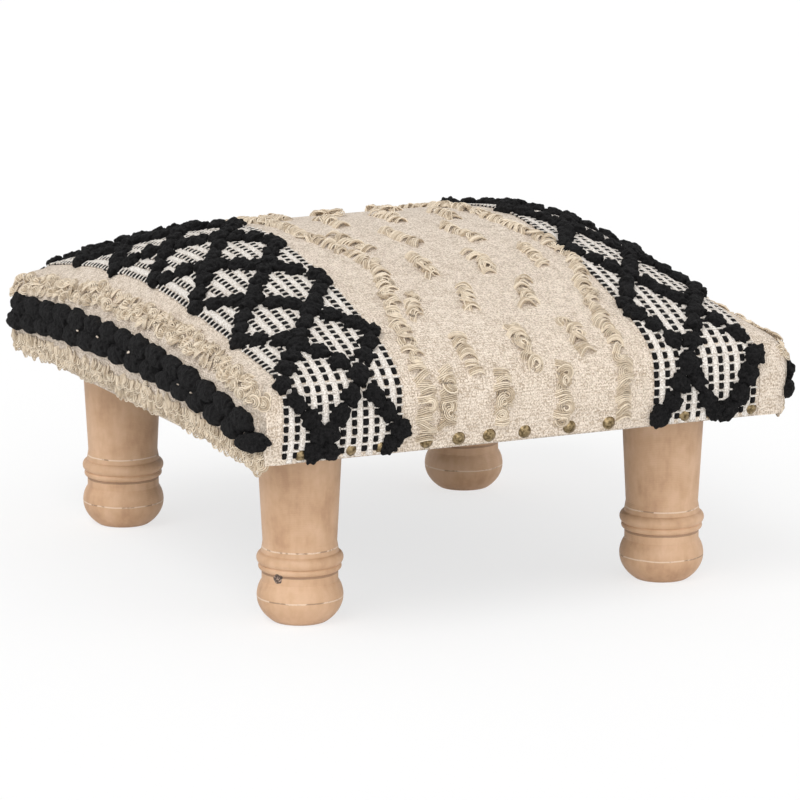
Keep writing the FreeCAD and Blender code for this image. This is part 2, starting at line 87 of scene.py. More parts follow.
# Lattice bands: edges as shares of half the width, diamonds as shares of half the depth.  The low edge
# leans in from its place at the front hem, by one lean at mid-length and two at the back.
NET_SHARES = (
    {"low": -0.912, "high": -0.492, "lean": 0.032, "diamond": 0.324, "corner": -0.643},
    {"low": 0.455, "high": 0.850, "lean": 0.0, "diamond": 0.400, "corner": -0.815},
)
NET_STRANDS = 3
COLUMN_PITCH = 8.0 * MM
DASH_PITCH = 5.8 * MM
DASH_WIDE = 3.9 * MM
DASH_HIGH = 1.4 * MM
DASH_HALF_LENGTH = DASH_PITCH * 0.41
DASH_SIZES = (0.85, 1.12)
DASH_SCATTER = 0.25 * MM
PILLOW_POWER = 0.6
BAR_RADIUS = 0.75 * MM
BAR_SIDES = 4
BAR_RISE = 0.9 * MM
BAR_HALF_LENGTH = DASH_WIDE * 0.62
RIB_HIGH = 1.1 * MM
RIB_LAP = 0.5 * MM
RIB_FLAT_SHARE = 0.6
RIB_STEP = 2.5 * MM
RIB_HEM_GAP = 1 * MM
LUMP_STEP = 14.2 * MM
LUMP_STEPS = (0.9, 1.1)
LUMP_HEM_GAP = 3 * MM
LUMP_RADII = (7.5 * MM, 6.2 * MM, 4.7 * MM)
LUMP_SIZES = (0.84, 1.14)
LUMP_WOOL = (0.17, 3.5 * MM)
LUMP_RISE = 1.8 * MM
LUMP_SCATTER = 0.7 * MM

# Tufts of the middle field: columns as shares of half the width.
TUFT_COLUMN_SHARES = (-0.375, 0.362)
CLUMP_COLUMN_SHARES = ((-0.192, 0.026, 0.238), (-0.295, -0.093, 0.135))
CLUMP_PITCH = 49.5 * MM
CLUMP_LENGTH = 34 * MM
CLUMP_SIZES = (0.85, 1.1)
CLUMP_SHIFT = 3 * MM
CLUMP_HEM_GAP = 12 * MM
TUFT_STEP = 4.4 * MM
TUFT_SCATTER = 1.2 * MM
TUFT_HEM_GAP = 8 * MM
SWIRL_CHANCE = 0.25

# The weave runs out of true: the field sways to the right on the front half of the crown, and lies a
# share of that to the left elsewhere.
SWAY = 21 * MM
SWAY_PLACE = -100 * MM
SWAY_REACH = 55 * MM
SWAY_BACK_SHARE = 0.2

# Stripes of the two side walls: heights above the hem at mid-length, where the cloth is pulled up most,
# and how far they fall to the front and to the back.
BRAID_HEIGHT = 37 * MM
BRAID_FALLS = (18 * MM, 13 * MM)
BRAID_PITCH = 27 * MM
BRAID_STEPS = (0.93, 1.07)
BRAID_END_GAP = 8 * MM
BRAID_ROW_OFFSET = 5.2 * MM
BRAID_RADII = (15.2 * MM, 7.3 * MM, 5.4 * MM)
BRAID_SIZES = (0.92, 1.08)
BRAID_WOOL = (0.08, 4 * MM)
BRAID_RISE = 2.0 * MM
BRAID_TURN = 0.14
FLECK_CHANCE = 0.5
FLECK_RADII = (2.4 * MM, 0.8 * MM, 0.6 * MM)
FLECK_SIZES = (0.5, 1.3)
FLECK_WOOL = (0.3, 2 * MM)
FLECK_RISE = 6.2 * MM
FLECK_SCATTER_ALONG = 3 * MM
FLECK_SCATTER_UP = 1 * MM
LOOP_ROW_HEIGHTS = (57.5 * MM, 63.5 * MM)
LOOP_ROW_FALLS = (20 * MM, 19 * MM)
LOOP_ROW_STEP = 6.5 * MM
LOOP_ROW_SIZE = 0.8
FRINGE_HEIGHTS = (11 * MM, 17 * MM)
FRINGE_FALLS = (8 * MM, 7 * MM)
FRINGE_STEP = 5.5 * MM
FRINGE_SIZE = 1.0
ROW_STEPS = (0.8, 1.2)
ROW_SCATTER = 1.0 * MM
ROW_FRONT_GAP = 2 * MM
ROW_BACK_GAP = 3 * MM

# Flaps at the two front corners, which stand off the cloth a little and more along the fold at their end.
FLAP_WIDE = 26 * MM
FLAP_HIGH = 47 * MM
FLAP_EDGE_GAP = 0.5 * MM
FLAP_COLUMNS = 12
FLAP_ROWS = 16
FLAP_STAND = 0.3 * MM
FLAP_FOLD = 2.4 * MM
FLAP_FADE_START = 0.25

# Yarn bundles.  Angles are in radians, and a yarn's path has the number of points given.
YARN_RADIUS = 0.5 * MM
YARN_SIZES = (0.9, 1.15)
YARN_SIDES = 5
YARN_STEP = 1.3 * MM
BUNDLE_YARNS = 4

# Arches over the cloth.
ARCH_POINTS = 9
ARCH_HEADING = 0.15
ARCH_HEADING_SCATTER = 0.35
ARCH_REACH = 11.5 * MM
ARCH_REACH_SIZES = (0.8, 1.15)
ARCH_RISE = 4.0 * MM
ARCH_RISE_SIZES = (0.75, 1.15)
ARCH_YARN_SIZES = (0.7, 1.0)
ARCH_POWER = 0.7
ARCH_BOW = 3.5 * MM
ARCH_BOW_SIZES = (-0.2, 1.2)

# Flat swirls on the cloth, whose half sweeps are shares of a half turn.
SWIRL_POINTS = 13
SWIRL_RADIUS = 5.6 * MM
SWIRL_SIZES = (0.85, 1.15)
SWIRL_RISE = 0.4 * MM
SWIRL_TILTS = (0.05, 0.4)
SWIRL_HALF_SWEEPS = (0.8, 0.97)
SWIRL_SCATTER = 0.15
SWIRL_LAYER = 0.5 * MM
SWIRL_DIP = 2.5 * MM
SWIRL_DIP_POWER = 6

# Loops that hang from the cloth.
HANG_POINTS = 11
HANG_WIDE = 5.2 * MM
HANG_LONG = 8.5 * MM
HANG_SIZES = (0.8, 1.2)
HANG_LEAN_SCATTER = 0.4
HANG_POWER = 0.6
HANG_SWELL = 1.5 * MM
HANG_LAYER = 0.35 * MM


# The cushion's surface and its cloth lines.

def surface(plan_x, plan_y):
    """Points of the cover over square plan places, whose corners are rounded to the cushion's plan."""
    across = np.abs(plan_x)
    along = np.abs(plan_y)
    a = np.clip((across - (HALF_X - CORNER)) / CORNER, 0, 1)
    b = np.clip((along - (HALF_Y - CORNER)) / CORNER, 0, 1)
    disc_a = a * np.sqrt(1 - b * b / 2)
    disc_b = b * np.sqrt(1 - a * a / 2)
    x = np.where(a > 0, HALF_X - CORNER + CORNER * disc_a, across)
    y = np.where(b > 0, HALF_Y - CORNER + CORNER * disc_b, along)
    plain = np.minimum(HALF_X - across, HALF_Y - along)
    inside = np.where((a > 0) & (b > 0), CORNER * (1 - np.hypot(disc_a, disc_b)), plain)
    share = np.clip(1 - inside / HALF_X, 0, 1)
    edge = (1 - share ** EDGE_POWER) ** (1 / EDGE_POWER)
    crown = (1 - (across / HALF_X) ** CROWN_POWER_X) * (1 - (along / HALF_Y) ** CROWN_POWER_Y)
    rise = FULL * (WALL_SHARE * edge + (1 - WALL_SHARE) * crown)
    draw = HEM_DRAW * np.clip(1 - rise / (FULL * HEM_DRAW_SHARE), 0, 1)
    x = x - draw * disc_a
    y = y - draw * disc_b
    return np.stack([np.sign(plan_x) * x, np.sign(plan_y) * y, BASE_Z + rise], -1)


WALL_PLACES = 90
WALL_END_LEVEL = 0.985
TOP_PLACES = 70


def line_places(half):
    """Plan places along one cloth line, close together where the cloth goes down the walls."""
    levels = np.linspace(0, WALL_END_LEVEL, WALL_PLACES)
    wall = half - HALF_X * (1 - (1 - levels ** EDGE_POWER) ** (1 / EDGE_POWER))
    top = np.linspace(wall[-1], 0, TOP_PLACES)[1:]
    side = np.concatenate([wall, top])
    return np.concatenate([-side, side[::-1][1:]])


PLACES_Y = line_places(HALF_Y)
PLACES_X = line_places(HALF_X)

# Lines are kept at this spacing, and directions are taken over this reach to both sides.
LINE_STEP = 0.25 * MM
SLOPE_REACH = 0.75 * MM


class ClothLines:
    """Cloth lines in one direction.

    A place on the cloth is the line and a length from its middle: the plan length on the crown,
    and the drop on the walls.
    """

    def __init__(self, lengthwise):
        self.lengthwise = lengthwise
        self.places = PLACES_Y if lengthwise else PLACES_X
        self.kept = {}

    def line(self, at):
        key = round(at / LINE_STEP)
        if key not in self.kept:
            fixed = np.full_like(self.places, key * LINE_STEP)
            points = surface(fixed, self.places) if self.lengthwise else surface(self.places, fixed)
            steps = np.abs(np.diff(points, axis=0)).max(axis=1)
            lengths = np.concatenate([[0], np.cumsum(steps)])
            self.kept[key] = (lengths - lengths[len(lengths) // 2], points)
        return self.kept[key]

    def end(self, at):
        """Length from the middle of a line to its hem."""
        return self.line(at)[0][-1]

    def point(self, at, length):
        lengths, points = self.line(at)
        return np.array([np.interp(length, lengths, points[:, axis]) for axis in range(3)])

    def place(self, at, length):
        """(point, direction across the lines, direction along the line, outward normal)."""
        along = self.point(at, length + SLOPE_REACH) - self.point(at, length - SLOPE_REACH)
        across = self.point(at + SLOPE_REACH, length) - self.point(at - SLOPE_REACH, length)
        along = along / np.linalg.norm(along)
        across = across - along * across.dot(along)
        across = across / max(np.linalg.norm(across), TINY)
        normal = np.cross(across, along) if self.lengthwise else np.cross(along, across)
        return self.point(at, length), across, along, normal


LENGTHWISE = ClothLines(True)
CROSSWISE = ClothLines(False)


def side_place(side, y, height, falls):
    """A place on the left or right wall; the stripe falls towards the front and the back."""
    lowered = height - falls[int(y > 0)] * (y / HALF_Y) ** 2
    point, across, along, normal = CROSSWISE.place(y, side * (CROSSWISE.end(y) - lowered))
    return point, across, -side * along, normal


# Mesh helpers.

class Soup:
    """Vertices and four-sided faces gathered for one object."""

    def __init__(self):
        self.vertices = []
        self.faces = []
        self.tones = []
        self.count = 0

    def add(self, vertices, faces):
        """Add one form, with a tone of its own for materials that vary from yarn to yarn."""
        self.vertices.append(np.asarray(vertices))
        self.faces.append(np.asarray(faces) + self.count)
        self.tones.append(np.full(len(vertices), rng.random()))
        self.count += len(vertices)

    def build(self, name, material):
        mesh = bpy.data.meshes.new(name)
        vertices = np.concatenate(self.vertices)
        faces = np.concatenate(self.faces)
        mesh.vertices.add(len(vertices))
        mesh.vertices.foreach_set("co", vertices.astype(np.float32).ravel())
        mesh.loops.add(faces.size)
        mesh.loops.foreach_set("vertex_index", faces.astype(np.int32).ravel())
        mesh.polygons.add(len(faces))
        mesh.polygons.foreach_set("loop_start", np.arange(0, faces.size, 4, dtype=np.int32))
        mesh.polygons.foreach_set("use_smooth", np.ones(len(faces), dtype=bool))
        mesh.update(calc_edges=True)
        mesh.validate()
        tone = mesh.attributes.new("tone", "FLOAT", "POINT")
        tone.data.foreach_set("value", np.concatenate(self.tones).astype(np.float32))
        mesh.materials.append(material)
        obj = bpy.data.objects.new(name, mesh)
        bpy.context.scene.collection.objects.link(obj)
        return obj


def grid_faces(wide, deep):
    """Four-sided faces between the points of a grid, given row by row."""
    index = np.arange(wide * deep).reshape(wide, deep)
    return np.stack([index[:-1, :-1], index[1:, :-1], index[1:, 1:], index[:-1, 1:]], -1).reshape(-1, 4)


# Squares along a side of the cube that a ball is made from.
SPECK_CELLS = 3
LUMP_CELLS = 10
LOBE_CELLS = 14


def ball_template(cells):
    """A unit ball of four-sided faces, from a cube of cells by cells squares on each side."""
    steps = np.linspace(-1, 1, cells + 1)
    index = {}
    vertices = []
    faces = []
    for axis in range(3):
        for sign in (-1, 1):
            grid = np.empty((cells + 1, cells + 1), dtype=int)
            for i, u in enumerate(steps):
                for j, v in enumerate(steps):
                    point = np.zeros(3)
                    point[axis] = sign
                    point[(axis + 1) % 3] = u
                    point[(axis + 2) % 3] = v
                    key = tuple(np.round(point, 6))
                    if key not in index:
                        index[key] = len(vertices)
                        vertices.append(point / np.linalg.norm(point))
                    grid[i, j] = index[key]
            for i in range(cells):
                for j in range(cells):
                    face = [grid[i, j], grid[i + 1, j], grid[i + 1, j + 1], grid[i, j + 1]]
                    faces.append(face if sign > 0 else face[::-1])
    return np.array(vertices), np.array(faces)


KNOB_WAVES = 20
KNOB_WAVE_SIZES = (0.5, 1.0)


def woolly(ball, amount, knob):
    """A ball swollen unevenly by knobs of about one size, for the pile of a lump of yarn."""
    swelling = np.ones(len(ball))
    for _ in range(KNOB_WAVES):
        heading = rng.normal(size=3)
        heading *= rng.uniform(*KNOB_WAVE_SIZES) * 2 * math.pi / (knob * np.linalg.norm(heading))
        swelling += amount / math.sqrt(KNOB_WAVES) * np.sin(ball @ heading + rng.uniform(0, 2 * math.pi))
    return ball * swelling[:, None]


def set_in(local, origin, across, along, normal):
    """Local points, given across, along and out of the cloth, set at a place on it."""
    return origin + local[:, :1] * across + local[:, 1:2] * along + local[:, 2:3] * normal


# A direction that no yarn follows for long, to set the rings of a tube by.
TUBE_HELPER = np.array([0.31, 0.52, 0.79])


def tube(soup, points, radius, sides):
    """A round yarn along points."""
    points = np.asarray(points)
    ahead = np.gradient(points, axis=0)
    ahead /= np.linalg.norm(ahead, axis=1)[:, None]
    side = np.cross(ahead, TUBE_HELPER)
    side /= np.linalg.norm(side, axis=1)[:, None]
    other = np.cross(ahead, side)
    turns = np.linspace(0, 2 * math.pi, sides, endpoint=False)[None, :, None]
    ring = side[:, None, :] * np.cos(turns) + other[:, None, :] * np.sin(turns)
    vertices = (points[:, None, :] + ring * radius).reshape(-1, 3)
    row, k = np.meshgrid(np.arange(len(points) - 1), np.arange(sides), indexing="ij")
    after = (k + 1) % sides
    faces = [row * sides + k, row * sides + after, (row + 1) * sides + after, (row + 1) * sides + k]
    soup.add(vertices, np.stack(faces, -1).reshape(-1, 4))


# Materials.  Noise and wave scales are per metre.

class Shader:
    """A node material with a few short ways to add and join nodes."""

    def __init__(self, name, roughness, sheen=0.0):
        self.material = bpy.data.materials.new(name)
        self.material.use_nodes = True
        self.nodes = self.material.node_tree.nodes
        self.links = self.material.node_tree.links
        self.surface = self.nodes["Principled BSDF"]
        self.surface.inputs["Roughness"].default_value = roughness
        self.surface.inputs["Sheen Weight"].default_value = sheen
        self.surface.inputs["Sheen Roughness"].default_value = 0.6

    def add(self, kind, **settings):
        """A new node; each setting goes to its input of that name, or else to the node itself."""
        node = self.nodes.new(kind)
        for key, setting in settings.items():
            if key in node.inputs:
                node.inputs[key].default_value = setting
            else:
                setattr(node, key, setting)
        return node

    def join(self, output, target):
        self.links.new(output, target)

    def position(self):
        return self.add("ShaderNodeNewGeometry").outputs["Position"]

    def noise(self, scale, detail, roughness=0.55, vector=None):
        """Noise over places in the scene, or over another vector."""
        node = self.add("ShaderNodeTexNoise", Scale=scale, Detail=detail, Roughness=roughness)
        self.join(vector or self.position(), node.inputs["Vector"])
        return node.outputs["Fac"]

    def ramp(self, factor, *stops):
        """Colours that a factor runs through, each given with its place."""
        node = self.add("ShaderNodeValToRGB")
        while len(node.color_ramp.elements) < len(stops):
            node.color_ramp.elements.new(0.5)
        for element, (place, colour) in zip(node.color_ramp.elements, stops):
            element.position = place
            element.color = (*colour, 1)
        self.join(factor, node.inputs["Fac"])
        return node.outputs["Color"]

    def mix(self, factor, first, second):
        """A blend from the first colour to the second."""
        node = self.add("ShaderNodeMix", data_type="RGBA")
        sockets = {socket.identifier: socket for socket in node.inputs}
        self.join(factor, sockets["Factor_Float"])
        for colour, socket in ((first, sockets["A_Color"]), (second, sockets["B_Color"])):
            if isinstance(colour, tuple):
                socket.default_value = (*colour, 1)
            else:
                self.join(colour, socket)
        outputs = {socket.identifier: socket for socket in node.outputs}
        return outputs["Result_Color"]

    def maths(self, operation, *terms):
        """An operation on outputs and numbers."""
        node = self.add("ShaderNodeMath", operation=operation)
        for socket, term in zip(node.inputs, terms):
            if isinstance(term, (int, float)):
                socket.default_value = term
            else:
                self.join(term, socket)
        return node.outputs[0]

    def bump(self, height, distance):
        """Raise the surface by a height, on top of the bumps that it has."""
        node = self.add("ShaderNodeBump", Distance=distance, Strength=1.0)
        self.join(height, node.inputs["Height"])
        if self.surface.inputs["Normal"].is_linked:
            self.join(self.surface.inputs["Normal"].links[0].from_socket, node.inputs["Normal"])
        self.join(node.outputs["Normal"], self.surface.inputs["Normal"])

    def colour(self, output):
        self.join(output, self.surface.inputs["Base Color"])


def black_yarn():
    """Thick black yarn with a rough pile."""
    shade = Shader("black_yarn", roughness=0.95, sheen=0.02)
    shade.surface.inputs["Specular IOR Level"].default_value = 0.12
    dark, light = (0.0020, 0.0019, 0.0022), (0.019, 0.018, 0.0185)
    pile = shade.noise(scale=520, detail=5, roughness=0.7)
    shade.colour(shade.ramp(pile, (0.38, dark), (0.68, light)))
    shade.bump(pile, distance=2.5 * MM)
    return shade.material


WEAVE_DEPTH = 0.5 * MM


def cloth_weave(name, dark, light):
    """Plain hand weave: threads both ways over the cloth's own coordinates, with slubs and heather."""
    shade = Shader(name, roughness=0.95, sheen=0.15)
    coordinates = shade.add("ShaderNodeUVMap", uv_map="cloth").outputs["UV"]
    clouds = shade.noise(scale=160, detail=4, roughness=0.65)
    slubs = shade.noise(scale=850, detail=3, roughness=0.6)
    tone = shade.maths("ADD", shade.maths("MULTIPLY", clouds, 0.25), shade.maths("MULTIPLY", slubs, 0.75))
    shade.colour(shade.ramp(tone, (0.41, dark), (0.56, light)))
    waves = []
    for way, scale in (("X", 180), ("Y", 140)):
        wave = shade.add("ShaderNodeTexWave", bands_direction=way, Scale=scale, Distortion=1.5, Detail=2)
        shade.join(coordinates, wave.inputs["Vector"])
        waves.append(wave.outputs["Fac"])
    shade.bump(shade.maths("MULTIPLY", *waves), WEAVE_DEPTH)
    shade.bump(slubs, WEAVE_DEPTH)
    return shade.material


def beige_yarn():
    """Beige yarn, each strand with a tone of its own."""
    shade = Shader("beige_yarn", roughness=0.9, sheen=0.15)
    dark, light = (0.45, 0.345, 0.23), (0.85, 0.73, 0.57)
    own = shade.add("ShaderNodeAttribute", attribute_name="tone").outputs["Fac"]
    mottle = shade.noise(scale=260, detail=4)
    tone = shade.maths("MULTIPLY_ADD", own, 0.6, shade.maths("MULTIPLY", mottle, 0.5))
    shade.colour(shade.ramp(tone, (0.2, dark), (0.75, light)))
    shade.bump(shade.noise(scale=2600, detail=3), distance=0.3 * MM)
    return shade.material


# Tones of the legs: colours at values of a noise.
WOOD_TONES = ((0.36, (0.48, 0.285, 0.165)), (0.47, (0.57, 0.355, 0.21)), (0.62, (0.65, 0.425, 0.27)))
CHIP_TONES = ((0.40, (0.20, 0.12, 0.07)), (0.48, (0.80, 0.66, 0.52)))
KNOT_TONES = ((0.50, (0.03, 0.022, 0.02)), (0.62, (0.42, 0.30, 0.25)))
# Lines that the lathe tool scored round the legs, chipped pale in places: heights and half-widths.
SCORES = ((49.5 * MM, 0.45 * MM), (16.5 * MM, 0.45 * MM))
# The wander and the strength serve both the rings of lathe scoring and the painted shade line in the neck
# groove.
SCORE_AND_SHADE_WANDER = 1.2 * MM
SCORE_AND_SHADE_STRENGTH = 0.6
# Painted shade: a dark line in the neck groove, where shade falls: height and half-width.
NECK_SHADE_LINE = (33.2 * MM, 0.8 * MM)
NECK_SHADE_TONE = (0.20, 0.11, 0.06)
# A dark knot at the neck of the front left leg.
KNOT = Vector((-0.1557, -0.164, 0.0325))
KNOT_RADIUS = 3.4 * MM
KNOT_STRENGTH = 0.9


def turned_wood():
    """Pale hardwood with soft clouds of colour, faint grain, rings of lathe scoring, a painted shade line in
    the neck groove and one knot.
    """
    shade = Shader("turned_wood", roughness=0.55)
    stretch = shade.add("ShaderNodeMapping", vector_type="POINT", Scale=(1, 1, 0.22))
    shade.join(shade.position(), stretch.inputs["Vector"])
    grain = shade.noise(scale=190, detail=5, roughness=0.6, vector=stretch.outputs["Vector"])
    clouds = shade.noise(scale=38, detail=4, roughness=0.6)
    blend = shade.maths("MULTIPLY_ADD", clouds, 0.7, shade.maths("MULTIPLY", grain, 0.3))
    wood = shade.ramp(blend, *WOOD_TONES)
    split = shade.add("ShaderNodeSeparateXYZ")
    shade.join(shade.position(), split.inputs["Vector"])
    waver = shade.noise(scale=60, detail=2)
    wander = shade.maths("MULTIPLY", shade.maths("SUBTRACT", waver, 0.5), SCORE_AND_SHADE_WANDER)
    height = shade.maths("ADD", split.outputs["Z"], wander)
    chips = shade.ramp(shade.noise(scale=110, detail=3), *CHIP_TONES)
    # The first line is painted shade in the neck groove; the others are the rings of lathe scoring.
    for (level, half), line in ((NECK_SHADE_LINE, NECK_SHADE_TONE), *((score, chips) for score in SCORES)):
        off = shade.maths("ABSOLUTE", shade.maths("SUBTRACT", height, level))
        score_and_shade_mask = shade.maths("LESS_THAN", off, half)
        wood = shade.mix(shade.maths("MULTIPLY", score_and_shade_mask, SCORE_AND_SHADE_STRENGTH), wood, line)
    reach = shade.add("ShaderNodeVectorMath", operation="DISTANCE")
    shade.join(shade.position(), reach.inputs[0])
    reach.inputs[1].default_value = KNOT
    uneven = shade.maths("MULTIPLY", shade.noise(scale=170, detail=2), 2 * KNOT_RADIUS)
    knot = shade.maths("LESS_THAN", reach.outputs["Value"], uneven)
    speckle = shade.ramp(shade.noise(scale=900, detail=2), *KNOT_TONES)
    wood = shade.mix(shade.maths("MULTIPLY", knot, KNOT_STRENGTH), wood, speckle)
    shade.colour(wood)
    lathe = shade.add("ShaderNodeTexWave", bands_direction="Z", Scale=260, Distortion=2.0, Detail=2)
    shade.join(shade.position(), lathe.inputs["Vector"])
    shade.bump(lathe.outputs["Fac"], distance=0.05 * MM)
    shade.bump(grain, distance=0.06 * MM)
    return shade.material


def antique_brass():
    """Brass gone dull with age."""
    shade = Shader("antique_brass", roughness=0.34)
    shade.surface.inputs["Metallic"].default_value = 1.0
    dark, light = (0.09, 0.062, 0.030), (0.36, 0.27, 0.15)
    tarnish = shade.noise(scale=500, detail=4)
    shade.colour(shade.ramp(tarnish, (0.35, dark), (0.65, light)))
    shade.bump(shade.noise(scale=900, detail=3), distance=0.15 * MM)
    return shade.material


def plain_material(name, dark, light, scale, roughness, metallic=0.0):
    """Quiet finish with mottling of one scale, for the pieces inside and below."""
    shade = Shader(name, roughness)
    shade.surface.inputs["Metallic"].default_value = metallic
    shade.colour(shade.ramp(shade.noise(scale, detail=4), (0.35, dark), (0.65, light)))
    shade.bump(shade.noise(scale * 6, detail=3), distance=0.1 * MM)
    return shade.material


BLACK = black_yarn()
CREAM = cloth_weave("cream_weave", (0.46, 0.36, 0.265), (0.84, 0.73, 0.615))
PALE = cloth_weave("pale_thread", (0.60, 0.53, 0.46), (0.91, 0.86, 0.80))
BEIGE = beige_yarn()


# Pieces of the cover.

def thinned(places, wall_step, top_step):
    """Fewer of the places along a cloth line, still closer together on the walls."""
    top = places[WALL_PLACES:-WALL_PLACES:top_step]
    return np.concatenate([places[:WALL_PLACES:wall_step], top, places[:-WALL_PLACES - 1:-wall_step][::-1]])


def cushion_grid(wall_step, top_step):
    """Points of the whole cushion over a grid of plan places, with the grid's two counts."""
    rows = thinned(PLACES_X, wall_step, top_step)
    columns = thinned(PLACES_Y, wall_step, top_step)
    grid_x, grid_y = np.meshgrid(rows, columns, indexing="ij")
    return surface(grid_x.ravel(), grid_y.ravel()), len(rows), len(columns)


def base_cloth():
    """The plain woven cloth over the whole cushion, with its hem turned in below."""
    points, wide, deep = cushion_grid(wall_step=3, top_step=1)
    index = np.arange(wide * deep).reshape(wide, deep)
    edge = np.concatenate([index[:-1, 0], index[-1, :-1], index[:0:-1, -1], index[0, :0:-1]])
    shrink = np.array([1 - HEM_WIDTH / HALF_X, 1 - HEM_WIDTH / HALF_Y, 1])
    turned_in = np.arange(len(edge)) + len(points)
    hem = np.stack([edge, turned_in, np.roll(turned_in, -1), np.roll(edge, -1)], -1)
    soup = Soup()
    soup.add(np.concatenate([points, points[edge] * shrink]), np.concatenate([grid_faces(wide, deep), hem]))
    return soup.build("cover_cloth", CREAM)


def cloth_coordinates(obj):
    """Cloth coordinates as a map: X and Y on the crown, with the drop below it added on the walls."""
    mesh = obj.data
    points = np.empty(len(mesh.vertices) * 3)
    mesh.vertices.foreach_get("co", points)
    points = points.reshape(-1, 3)
    drop = np.maximum(BASE_Z + FULL * WALL_SHARE - points[:, 2], 0)
    on_side = np.abs(points[:, 0]) / HALF_X > np.abs(points[:, 1]) / HALF_Y
    u = points[:, 0] + np.where(on_side, np.sign(points[:, 0]) * drop, 0)
    v = points[:, 1] + np.where(on_side, 0, np.sign(points[:, 1]) * drop)
    corners = np.empty(len(mesh.loops), dtype=np.int32)
    mesh.loops.foreach_get("vertex_index", corners)
    layer = mesh.uv_layers.new(name="cloth")
    layer.data.foreach_set("uv", np.stack([u, v], -1)[corners].ravel().astype(np.float32))
    return obj


def band_edges(net, length):
    """X of both edges of a lattice band at a length along the cloth."""
    lean = net["lean"] * (1 + length / LENGTHWISE.end(0.0))
    return (net["low"] + lean) * HALF_X, net["high"] * HALF_X


def band_place(net, share, length):
    """X at a share of a lattice band's width."""
    low, high = band_edges(net, length)
    return low + share * (high - low)


def band_end(net, share):
    """Length from the middle of a lattice band to its nearer hem."""
    return min(LENGTHWISE.end(band_place(net, share, half)) for half in (-HALF_Y, HALF_Y))


def column_shares(net):
    """Places of the black thread columns of a lattice band, as shares of its width."""
    pitch = COLUMN_PITCH / ((net["high"] - net["low"]) * HALF_X)
    count = int(1 / pitch)
    spare = (1 - count * pitch) / 2
    return [spare + pitch * number for number in range(count + 1)]


def lattice_ribs(soup, net):
    """Raised pale ribs between the black columns of a band."""
    half = (COLUMN_PITCH - DASH_WIDE) / 2 + RIB_LAP
    flat = half * RIB_FLAT_SHARE
    section = ((-half, 0), (-flat, RIB_HIGH), (flat, RIB_HIGH), (half, 0))
    columns = column_shares(net)
    for left, right in zip(columns[:-1], columns[1:]):
        middle = (left + right) / 2
        end = band_end(net, middle) - RIB_HEM_GAP
        lengths = np.arange(-end, end, RIB_STEP)
        vertices = []
        for length in lengths:
            point, across, _, normal = LENGTHWISE.place(band_place(net, middle, length), length)
            vertices += [point + across * side + normal * out for side, out in section]
        soup.add(vertices, grid_faces(len(lengths), len(section)))


def lattice_dashes(dashes, bars, net):
    """Columns of short black floats with thin pale threads between them."""
    unit, faces = ball_template(SPECK_CELLS)
    pillow = np.sign(unit) * np.abs(unit) ** PILLOW_POWER
    for share in column_shares(net):
        end = band_end(net, share) - DASH_PITCH
        for length in np.arange(-end, end, DASH_PITCH):
            column = band_place(net, share, length)
            point, across, along, normal = LENGTHWISE.place(column + rng.normal(0, DASH_SCATTER), length)
            size = np.array([DASH_WIDE / 2, DASH_HALF_LENGTH, DASH_HIGH]) * rng.uniform(*DASH_SIZES, 3)
            dashes.add(set_in(pillow * size, point, across, along, normal), faces)
            middle = point + along * DASH_PITCH / 2 + normal * BAR_RISE
            reach = across * BAR_HALF_LENGTH
            tube(bars, [middle - reach, middle, middle + reach], BAR_RADIUS, BAR_SIDES)


def net_place(net, strand, length):
    """X of one strand of a diamond net at a length along the cloth, and its slope there."""
    low, high = band_edges(net, length)
    side_length = net["diamond"] * HALF_Y * NET_STRANDS / 2
    start = (net["corner"] + strand * net["diamond"]) * HALF_Y
    turns = (length - start) / side_length % 2
    slope = (high - low) / side_length * (1 if turns < 1 else -1)
    return low + (high - low) * (1 - abs(turns - 1)), slope


def diamond_lumps(soup, net):
    """Crossing zigzags of thick black lumps that make a net of diamonds on a band."""
    unit, faces = ball_template(LUMP_CELLS)
    end = LENGTHWISE.end(net["low"] * HALF_X)
    for strand in range(NET_STRANDS):
        length = -end + rng.uniform(LUMP_HEM_GAP, 2 * LUMP_HEM_GAP)
        while length < end - LUMP_HEM_GAP:
            at, slope = net_place(net, strand, length)
            last = LENGTHWISE.end(at) - LUMP_RADII[0]
            above_hem = min(max(length, -last), last)
            column = at + rng.normal(0, LUMP_SCATTER)
            point, across, along, normal = LENGTHWISE.place(column, above_hem)
            heading = across * slope + along
            heading /= np.linalg.norm(heading)
            aside = np.cross(normal, heading)
            local = woolly(unit * LUMP_RADII * rng.uniform(*LUMP_SIZES, 3), *LUMP_WOOL)
            soup.add(set_in(local, point + normal * LUMP_RISE, heading, aside, normal), faces)
            length += LUMP_STEP / math.hypot(1, slope) * rng.uniform(*LUMP_STEPS)


def lay_yarn(soup, path):
    """One yarn of a bundle along a path."""
    tube(soup, path, YARN_RADIUS * rng.uniform(*YARN_SIZES), YARN_SIDES)


def arch(soup, point, across, along, normal, size):
    """A flat bundle of yarns that comes out of the cloth, bends over and goes back in beside it."""
    heading = rng.normal(ARCH_HEADING, ARCH_HEADING_SCATTER)
    ahead = across * math.cos(heading) + along * math.sin(heading)
    aside = np.cross(normal, ahead)
    share = np.linspace(0, 1, ARCH_POINTS)[:, None]
    bend = np.sin(math.pi * share)
    reach = size * ARCH_REACH * rng.uniform(*ARCH_REACH_SIZES)
    rise = size * ARCH_RISE * rng.uniform(*ARCH_RISE_SIZES)
    bow = ARCH_BOW * rng.uniform(*ARCH_BOW_SIZES)
    for yarn in range(BUNDLE_YARNS):
        off = (yarn - (BUNDLE_YARNS - 1) / 2) * YARN_STEP
        height = rise * rng.uniform(*ARCH_YARN_SIZES) * bend ** ARCH_POWER - YARN_RADIUS
        path = point + ahead * (share - 0.5) * reach + aside * (off + bow * bend) + normal * height
        lay_yarn(soup, path)


